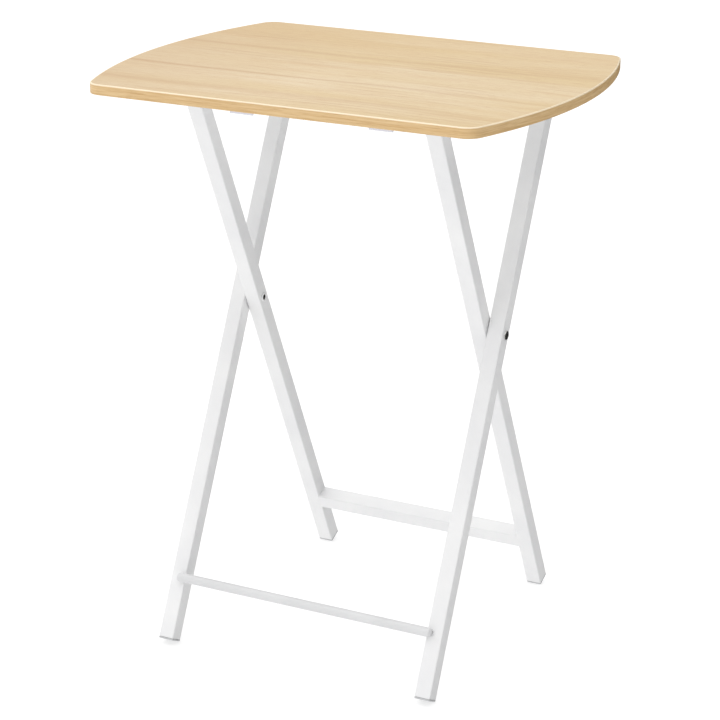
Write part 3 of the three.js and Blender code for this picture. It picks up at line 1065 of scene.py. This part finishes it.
@dataclass
class OuterFrame(LeaningFrame):
    """The wider frame: feet at the front, tops at the back, with the pivots and the hinges."""

    bar_rise: float = 74.4
    bar_rounding: float = 3.6
    bar_half_length: float = 164.4
    shank: float = 4.0
    head: float = 5.25
    head_height: float = 2.6
    head_rim: float = 0.6
    bore: float = 3.25
    bore_depth: float = 11.6
    roll: float = 1.4
    play: float = 0.2
    inside_x: float = 137.0
    half_width: float = 176.0
    washer_radius: float = 9.0
    washer_x: Point = (156.1, 156.9)
    pin: float = 3.0
    pin_head: float = 4.8
    pin_head_height: float = 2.1
    pin_seat: float = 178.7
    hinge_washer_radius: float = 7.0
    hinge_washer_x: Point = (176.05, 176.55)

    def build(self) -> None:
        """Builds the frame's pieces."""
        holes = [(self.shank + self.gap, 0.0), (self.pin + self.gap, self.rail_reach)]
        for side in Side:
            self.leg(side, holes)
            self.foot_cap(side)
            self.top_plug(side)
            self.pivot_rivet(side)
            self.hinge_rivet(side)
            washers = (
                ("pivot", self.shank, self.washer_radius, self.washer_x, 0.0),
                ("hinge", self.pin, self.hinge_washer_radius, self.hinge_washer_x, self.rail_reach),
            )
            for word, bore, radius, span, height in washers:
                self.washer(f"{word}_washer_{side.word}", side, bore + self.gap, radius, span, height)
        self.lower_bar()

    def outward(self, side: Side, height: float) -> Matrix:
        """The move that points a turned piece's Z outwards from the table's mid-plane."""
        return Matrix.Translation((0, 0, height)) @ Matrix.Rotation(side.value * math.pi / 2, 4, "Y")

    def dome(self, seat: float, radius: float, height: float) -> list[Point]:
        """Profile of a domed head, from its rim to the middle.

        Args:
            seat: Where it bears on its neighbour.
            radius: The head's radius.
            height: The head's height.

        Returns:
            Radius and height pairs.
        """
        rim = self.head_rim
        crown = height - rim
        turns = [math.radians(90 * step / 9) for step in range(10)]
        curve = [(radius * math.cos(t), seat + rim + crown * math.sin(t)) for t in turns]
        return [(radius, seat), *curve[:-1], (0.0, seat + height)]

    def pivot_rivet(self, side: Side) -> None:
        """Builds a tubular rivet with a bright head, and its painted, rolled-over open end.

        Args:
            side: Its side.
        """
        tail = self.inside_x - self.play
        end = tail - self.roll
        name = f"pivot_rivet_{side.word}"
        bright = [
            (0.0, end + self.bore_depth),
            (self.bore, end + self.bore_depth),
            (self.bore, tail - 0.4),
            (self.shank, tail - 0.4),
            (self.shank, self.half_width + self.play),
            *self.dome(self.half_width + self.play, self.head, self.head_height),
        ]
        rivet = turned(f"{name}_bright_head", bright)
        self.place(rivet, self.outward(side, 0), Slot.PLATED_STEEL, name, HEAD_CREASE)
        radius = (self.head - self.bore) / 2
        section = arc((self.bore + radius, end + radius), radius, 180, 360, 12)
        section += [(self.head - 0.1, tail), (self.bore, tail)]
        painted = turned(f"{name}_rolled_end", section, ring=True)
        self.place(painted, self.outward(side, 0), Slot.POWDER_COAT, name, HEAD_CREASE)

    def hinge_rivet(self, side: Side) -> None:
        """Builds the solid pin on which a bracket turns.

        Args:
            side: Its side.
        """
        tail = self.leg_x - self.half + self.play
        profile = [
            (0.0, tail),
            (self.pin - 0.4, tail),
            (self.pin, tail + 0.4),
            (self.pin, self.pin_seat),
            *self.dome(self.pin_seat, self.pin_head, self.pin_head_height),
        ]
        name = f"hinge_rivet_{side.word}"
        rivet = turned(f"{name}_solid", profile)
        move = self.outward(side, self.rail_reach)
        self.place(rivet, move, Slot.PLATED_STEEL, name, HEAD_CREASE)

    def washer(
        self, name: str, side: Side, bore: float, radius: float, span: Point, height: float
    ) -> None:
        """Builds a flat washer with eased rims.

        Args:
            name: The node that it stands for.
            side: Its side.
            bore: Its inner radius.
            radius: Its outer radius.
            span: Its two faces, outwards from the mid-plane.
            height: Its place along the leg.
        """
        ease = (span[1] - span[0]) / 4
        profile = [
            (bore, span[0]),
            (radius - ease, span[0]),
            (radius, span[0] + ease),
            (radius, span[1] - ease),
            (radius - ease, span[1]),
            (bore, span[1]),
        ]
        ring = turned(f"{name}_disc", profile, ring=True)
        self.place(ring, self.outward(side, height), Slot.GREY_PLASTIC, name)

    def lower_bar(self) -> None:
        """Builds the round bar across the fronts of the legs, with its weld beads."""
        height = self.bar_rise - self.foot_reach
        depth = -(self.half + self.bar_radius + self.gap)
        bar = self.round_bar("lower_round_bar_drawn", self.bar_half_length, self.bar_rounding)
        moved(bar, Matrix.Translation((0, depth, height)))
        smoothed(bar)
        beads = []
        groove = self.bar_radius * 0.62
        face = -self.half - 0.15
        for side in Side:
            inner = side.value * (self.leg_x - self.half + 1)
            outer = side.value * (self.bar_half_length - 1.6)
            end = side.value * (self.bar_half_length + 0.3)
            turns = [
                Vector((inner, face, height + groove)),
                Vector((outer, face, height + groove)),
                Vector((end, face, height + groove * 0.55)),
                Vector((end, face, height - groove * 0.55)),
                Vector((outer, face, height - groove)),
                Vector((inner, face, height - groove)),
            ]
            path = straight_runs(turns, self.weld_pitch / 5)
            beads.append(bead(path, self.weld_radius, self.weld_pitch))
        self.stand(joined(bar, beads), Slot.POWDER_COAT, "lower_round_bar")
        # painted shade: the lower bar wears the greyer copy of the white coat
        bar.data.materials[0] = self.shop.thin_coat


@dataclass
class InnerFrame(LeaningFrame):
    """The narrower frame: feet at the back, with the foot stretcher and the clipped top rail."""

    stretcher_rise: float = 73.9
    stretcher_weld: float = 0.8
    shank: float = 4.0
    flush: float = 1.7

    def build(self) -> None:
        """Builds the frame's pieces."""
        for side in Side:
            self.leg(side, [(self.shank + self.gap, 0.0)])
            self.foot_cap(side)
            self.top_plug(side)
        self.top_rail()
        self.stretcher()

    def top_rail(self) -> None:
        """Builds the round rail between the legs' tops, with a weld bead round each end."""
        inside = self.leg_x - self.half
        rail = self.round_bar("inner_top_rail_drawn", inside, 0.2)
        smoothed(rail)
        seams = []
        for side in Side:
            x = side.value * (inside - 0.3)
            path = [Vector((x, a, b)) for a, b in circle(self.bar_radius + 0.2, 72)]
            seams.append(bead(path, self.weld_radius, self.weld_pitch, ring=True))
        moved(joined(rail, seams), Matrix.Translation((0, 0, self.rail_reach)))
        self.stand(rail, Slot.POWDER_COAT, "inner_top_rail")

    def stretcher(self) -> None:
        """Builds the square stretcher, welded flush with the legs' fronts."""
        inside = self.leg_x - self.half
        reach = inside + self.flush
        rows = [
            self.square(0, -reach),
            self.square(0, reach),
            self.square(self.wall, reach),
            self.square(self.wall, -reach),
        ]
        tube = upright("foot_stretcher_tube", rows, ring=True)
        moved(tube, Matrix.Rotation(math.pi / 2, 4, "Y"))
        smoothed(tube)
        seams = []
        for side in Side:
            x = side.value * (inside + 0.1)
            far, rim = self.half - 0.1, self.half - self.corner
            turns = [
                Vector((x, -rim, self.half)),
                Vector((x, rim, self.half)),
                Vector((x, far, rim)),
                Vector((x, far, -rim)),
                Vector((x, rim, -self.half)),
                Vector((x, -rim, -self.half)),
            ]
            path = straight_runs(turns, self.weld_pitch / 5)
            seams.append(bead(path, self.stretcher_weld, self.weld_pitch))
        joined(tube, seams)
        moved(tube, Matrix.Translation((0, 0, self.stretcher_rise - self.foot_reach)))
        self.stand(tube, Slot.POWDER_COAT, "foot_stretcher")


# ---- top ----
@dataclass
class WoodScrew:
    """A pan-head wood screw with a cross recess."""

    shop: Shop
    head: float = 3.4
    head_height: float = 1.8
    rim_share: float = 0.35
    shank: float = 1.75
    slot_width: float = 0.9
    slot_length: float = 3.6
    slot_depth: float = 1.1

    def build(self, node: str) -> None:
        """Builds one screw, head down.

        Args:
            node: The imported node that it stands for.
        """
        middle, extent = self.shop.middle(node), self.shop.extent(node)
        length = extent.z
        crown = []
        for angle in range(0, 91, 10):
            turn = math.radians(angle)
            rise = self.rim_share + (1 - self.rim_share) * math.cos(turn)
            crown.append((self.head * math.sin(turn), -self.head_height * rise))
        reach = length - self.head_height
        profile = [*crown, (self.head, 0.0), (self.shank, 0.0), (self.shank, reach - 1.6), (0.0, reach)]
        screw = turned(f"{node}_pan_head", profile, steps=28)
        half_width, half_length = self.slot_width / 2, self.slot_length / 2
        recess = []
        for turn in (0.0, math.pi / 2):
            outline = [(half_length, half_width), (-half_length, half_width)]
            outline += [(-half_length, -half_width), (half_length, -half_width)]
            tip = [(x * 0.5, y * 0.5) for x, y in outline]
            sections = [(outline, -self.head_height - 0.5), (tip, self.slot_depth - self.head_height)]
            recess.append(moved(upright("recess", sections), Matrix.Rotation(turn + 0.4, 4, "Z")))
        combined(screw, recess, "DIFFERENCE")
        smoothed(screw, EASED_CREASE)
        bottom = middle.z - length / 2
        moved(screw, Matrix.Translation((middle.x, middle.y, bottom + self.head_height)))
        self.shop.fit(screw, Body.TOP, Slot.PLATED_STEEL, node)


@dataclass
class SnapClip:
    """An open moulded clip that hooks over the inner frame's top rail."""

    shop: Shop
    width: float = 27.8
    drop: float = 24.0
    front: float = 9.5
    back: float = 12.0
    slot: float = 5.6
    mouth_slope: float = 33.0
    back_drop: float = 4.0
    bead_reach: float = 4.4
    base: float = 3.0
    base_length: float = 54.0
    screw_spacing: float = 40.0
    screw_hole: float = 2.05
    rib: float = 2.0

    def outline(self, top: float) -> list[Point]:
        """The clip's side view about the rail's centre.

        Args:
            top: Height of the board's underside above the rail.

        Returns:
            Y and Z pairs.
        """
        slope = math.radians(self.mouth_slope)
        tip, back_tip = top - self.drop, -self.back_drop
        tangent = (self.slot * math.cos(slope), self.slot * math.sin(slope))
        mouth = tangent[0] + (tangent[1] - back_tip) * math.tan(slope)
        return [
            (-self.front, tip + 1),
            (-self.front + 0.4, tip + 0.3),
            (-self.front + 1.2, tip),
            (-self.slot, tip),
            (-self.bead_reach, -self.slot),
            (-self.slot, -self.slot / 2),
            *arc((0, 0), self.slot, 180, self.mouth_slope, 20),
            (mouth, back_tip),
            (self.back, back_tip),
            (self.back, top),
            (-self.front, top),
        ]

    def build(self, side: Side) -> None:
        """Builds the clip on its screwed base, with a rib at each end of the hook.

        Args:
            side: Its side.
        """
        node = f"snap_clip_{side.word}"
        rail = Vector(self.shop.joint("top_tilt")["pos_m"]) / MM
        pivot = Vector(self.shop.joint("leg_fold")["pos_m"]) / MM
        centre = Vector((self.shop.middle(node).x, 2 * pivot.y - rail.y, rail.z))
        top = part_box(node)[1].z / MM - rail.z
        half = self.width / 2
        clip = block_along_x(f"{node}_moulding", self.outline(top), -half, half)
        base_outline = [(-self.front, top), (-self.front, top - self.base)]
        base_outline += [(self.back, top - self.base), (self.back, top)]
        parts = [block_along_x("base", base_outline, -self.base_length / 2, self.base_length / 2)]
        for sign in (-1, 1):
            for y in (-self.front + 1.5, self.back - 1.5):
                rows = []
                for lean, z in ((6.0, top - self.base + 0.5), (0.4, top - self.base - 7.0)):
                    start, end = sign * (half - 1), sign * (half + lean)
                    rib = [(start, y - self.rib / 2), (end, y - self.rib / 2)]
                    rib += [(end, y + self.rib / 2), (start, y + self.rib / 2)]
                    rows.append((rib, z))
                parts.append(upright("rib", rows))
        combined(clip, parts, "UNION")
        drills = [
            drill_z(self.screw_hole, Vector((sign * self.screw_spacing / 2, 0, top)), 4 * self.base)
            for sign in (-1, 1)
        ]
        combined(clip, drills, "DIFFERENCE")
        eased(clip, 0.35)
        smoothed(clip, EASED_CREASE)
        moved(clip, Matrix.Translation(centre))
        self.shop.fit(clip, Body.TOP, Slot.WHITE_PLASTIC, node)


@dataclass
class HingeBracket:
    """A bent steel angle: an ear on the hinge pin and a flange screwed under the board."""

    shop: Shop
    inner_x: float = 176.6
    sheet: float = 2.0
    half_width: float = 12.0
    flange: float = 24.0
    bend: float = 1.2
    flange_corner: float = 3.0
    pin_hole: float = 3.3
    screw_hole: float = 2.05
    screw_offset: float = 15.0
    screw_spacing: float = 13.0

    def build(self, side: Side) -> None:
        """Builds one bracket as a bent sheet.

        Args:
            side: Its side.
        """
        node = f"hinge_bracket_{side.word}"
        pin = Vector(self.shop.joint("top_tilt")["pos_m"]) / MM
        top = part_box(node)[1].z / MM - pin.z
        outside = self.bend + self.sheet
        ear = top - outside
        stations: list[tuple[Vector, Vector, float]] = []
        for step in range(17):
            z = -self.half_width * math.cos(math.pi / 2 * step / 16)
            width = math.sqrt(max(self.half_width**2 - z**2, 0.01))
            stations.append((Vector((0, 0, z)), Vector((1, 0, 0)), width))
        stations.append((Vector((0, 0, ear)), Vector((1, 0, 0)), self.half_width))
        for step in range(1, 9):
            turn = math.pi / 2 * step / 8
            point = Vector((outside - outside * math.cos(turn), 0, ear + outside * math.sin(turn)))
            stations.append((point, Vector((math.cos(turn), 0, -math.sin(turn))), self.half_width))
        last = self.flange - self.flange_corner
        for step in range(9):
            turn = math.pi / 2 * step / 8
            point = Vector((last + self.flange_corner * math.sin(turn), 0, top))
            width = self.half_width - self.flange_corner * (1 - math.cos(turn))
            stations.append((point, Vector((0, 0, -1)), width))
        loops = []
        for point, inward, width in stations:
            across = Vector((0, width, 0))
            under = point + inward * self.sheet
            loops.append([point - across, point + across, under + across, under - across])
        bracket = skin(f"{node}_bent_sheet", loops)
        drills = [drill_x(self.pin_hole, Vector((self.sheet / 2, 0, 0)), 4 * self.sheet)]
        for sign in (-1, 1):
            centre = Vector((self.screw_offset, sign * self.screw_spacing / 2, top))
            drills.append(drill_z(self.screw_hole, centre, 4 * self.sheet))
        combined(bracket, drills, "DIFFERENCE")
        eased(bracket, 0.25, 2, 50)
        smoothed(bracket, EASED_CREASE)
        mirror = Matrix.Diagonal((side.value, 1, 1, 1))
        moved(bracket, Matrix.Translation((side.value * self.inner_x, pin.y, pin.z)) @ mirror)
        if side is Side.LEFT:
            bracket.data.flip_normals()
        self.shop.fit(bracket, Body.TOP, Slot.POWDER_COAT, node)


@dataclass
class Board:
    """The bow-ended board: core, laminate, white backing, and a rounded band round the edge."""

    shop: Shop
    half_edge: float = 229.5
    bow: float = 37.8
    corner: float = 19.0
    arris: float = 1.0
    lower_arris: float = 0.8
    hole: float = 2.05
    hole_depth: float = 7.8

    def outline(self, inset: float) -> list[Point]:
        """The board's outline: straight long edges, bowed ends and rounded corners.

        Args:
            inset: How far it is pulled in.

        Returns:
            Points counterclockwise, the same number for any inset.
        """
        half_depth = self.shop.extent("edge_band").y / 2
        bow_radius = (half_depth**2 + self.bow**2) / (2 * self.bow)
        bow_x = self.half_edge + self.bow - bow_radius
        corner_y = half_depth - self.corner
        corner_x = bow_x + math.sqrt((bow_radius - self.corner) ** 2 - corner_y**2)
        turn = math.degrees(math.atan2(corner_y, corner_x - bow_x))
        rounding, bow = self.corner - inset, bow_radius - inset
        right = [
            *arc((corner_x, -corner_y), rounding, -90, -turn, 14)[:-1],
            *arc((bow_x, 0), bow, -turn, turn, 48)[:-1],
            *arc((corner_x, corner_y), rounding, turn, 90, 14),
        ]
        return right + [(-x, -y) for x, y in right]

    def layer(self, node: str, slot: Slot, word: str, inset: float, holes: float = 0.0) -> None:
        """Builds a flat layer of the board.

        Args:
            node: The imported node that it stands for.
            slot: Its material slot.
            word: The last word of its name.
            inset: How far its edge is inside the board's.
            holes: Depth of the screw holes from its lower face.
        """
        low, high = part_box(node)
        outline = self.outline(inset)
        sheet = upright(f"{node}_{word}", [(outline, low.z / MM), (outline, high.z / MM)])
        if holes:
            drills = []
            for screw in (n for n in self.shop.frame["nodes"] if "_screw_" in n):
                middle = self.shop.middle(screw)
                centre = Vector((middle.x, middle.y, low.z / MM))
                drills.append(drill_z(self.hole, centre, 2 * holes))
            combined(sheet, drills, "DIFFERENCE")
        smoothed(sheet)
        self.shop.fit(sheet, Body.TOP, slot, node)

    def build(self) -> None:
        """Builds the four layers."""
        band = (self.shop.extent("edge_band").x - self.shop.extent("core_panel").x) / 2
        self.layer("core_panel", Slot.FIBREBOARD, "pressed", band, self.hole_depth)
        self.layer("top_laminate", Slot.LAMINATE, "sheet", band)
        self.layer("underside_backing", Slot.BACKING, "sheet", band, 1.0)
        low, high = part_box("edge_band")
        bottom, top = low.z / MM, high.z / MM
        upper, lower = min(self.arris, band), min(self.lower_arris, band)
        section = [
            *[(upper - y, top - upper + x) for x, y in arc((0, 0), upper, 90, 0, 6)],
            (band, top),
            (band, bottom),
            *[(lower - y, bottom + lower - x) for x, y in arc((0, 0), lower, 0, 90, 6)],
        ]
        loops = [(self.outline(inset), height) for inset, height in section]
        ring = upright("edge_band_extruded", loops, ring=True)
        smoothed(ring)
        self.shop.fit(ring, Body.TOP, Slot.EDGE_BAND, "edge_band")


@dataclass
class Top:
    """The whole top: the board and what is screwed under it."""

    shop: Shop

    def build(self) -> None:
        """Builds the board, the clips, the brackets and the screws."""
        Board(self.shop).build()
        for side in Side:
            SnapClip(self.shop).build(side)
            HingeBracket(self.shop).build(side)
        screw = WoodScrew(self.shop)
        for node in sorted(n for n in self.shop.frame["nodes"] if "_screw_" in n):
            screw.build(node)


# ---- studio ----
@dataclass
class Studio:
    """A plain pale floor, soft light from all round but the right back, and the camera."""

    camera_at: tuple[float, float, float] = (1.18116, -2.29676, 1.21253)  # metres
    azimuth: float = 27.6065
    elevation: float = 18.0061
    lens: float = 117.57
    sensor: float = 36.0
    shift: Point = (0.02009, -0.05246)
    floor_half: float = 14.0  # metres
    floor_drop: float = 0.0002  # metres
    sky_bright: float = 0.84
    sky_dark: float = 0.03
    sky_top: float = 1.8
    dark_heading: float = 40.0
    fall: Point = (-0.25, 0.4)
    rise: Point = (0.35, 1.0)

    def build(self) -> None:
        """Builds the floor, the light and the camera."""
        self.floor()
        self.sky()
        self.camera()

    def floor(self) -> None:
        """Lays the floor just under the feet."""
        half = self.floor_half / MM
        drop = -self.floor_drop / MM
        signs = ((-1, -1), (1, -1), (1, 1), (-1, 1))
        points = [Vector((x * half, y * half, drop)) for x, y in signs]
        ground = mesh_object("studio_floor", points, [(0, 1, 2, 3)])
        ground.data.materials.append(LitSweep("matt white lit acrylic", roughness=0.9).material())
        ground.visible_glossy = False  # plated parts mirror the dark side of the sky instead

    def sky(self) -> None:
        """Lights from all round: brightest overhead, and dark low down at the right back."""
        world = bpy.data.worlds.new("studio surround")
        world.use_nodes = True
        tree = world.node_tree
        tree.nodes.clear()
        way = add_node(tree, "ShaderNodeTexCoord").outputs["Generated"]
        heading = math.radians(self.dark_heading)
        toward = {"operation": "DOT_PRODUCT", 1: (math.cos(heading), math.sin(heading), 0.0)}
        dark_side = add_node(tree, "ShaderNodeVectorMath", toward, {0: way}).outputs["Value"]
        split = add_node(tree, "ShaderNodeSeparateXYZ", links={0: way})
        across = {1: self.fall[0], 2: self.fall[1], 3: self.sky_bright, 4: self.sky_dark}
        upward = {1: self.rise[0], 2: self.rise[1], 3: 0.0, 4: 1.0}
        smooth = {"interpolation_type": "SMOOTHSTEP"}
        fall = add_node(tree, "ShaderNodeMapRange", across | smooth, {0: dark_side})
        rise = add_node(tree, "ShaderNodeMapRange", upward | smooth, {0: split.outputs["Z"]})
        path = add_node(tree, "ShaderNodeLightPath").outputs["Is Camera Ray"]
        blend = {"data_type": "FLOAT", 3: self.sky_top}
        dome = add_node(tree, "ShaderNodeMix", blend, {0: rise.outputs[0], 2: fall.outputs[0]})
        shown = {"data_type": "FLOAT", 3: 1.0}
        strength = add_node(tree, "ShaderNodeMix", shown, {0: path, 2: dome.outputs[0]})
        light = add_node(
            tree, "ShaderNodeBackground", {"Color": (1, 1, 1, 1)}, {"Strength": strength.outputs[0]}
        )
        add_node(tree, "ShaderNodeOutputWorld", links={"Surface": light.outputs[0]})
        bpy.context.scene.world = world

    def camera(self) -> None:
        """Sets the camera to look down at the table from the right front."""
        data = bpy.data.cameras.new("view")
        data.lens = self.lens
        data.sensor_width = self.sensor
        data.shift_x, data.shift_y = self.shift
        data.clip_end = 100.0
        camera = bpy.data.objects.new("view", data)
        bpy.context.scene.collection.objects.link(camera)
        camera.location = self.camera_at
        camera.rotation_euler = (
            math.radians(90 - self.elevation),
            0.0,
            math.radians(self.azimuth),
        )
        bpy.context.scene.camera = camera


def main() -> None:
    """Builds the studio and the table."""
    logging.basicConfig(level=logging.INFO, format="%(name)s: %(message)s")
    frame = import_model()
    bpy.context.scene.view_settings.view_transform = "Standard"
    Studio().build()
    shop = Shop(frame)
    shop.mix_finishes()
    OuterFrame(shop, Body.OUTER, "outer", leg_x=166.5, lean_sign=1).build()
    InnerFrame(shop, Body.INNER, "inner", leg_x=146.5, lean_sign=-1).build()
    Top(shop).build()


if __name__ == "__main__":
    main()
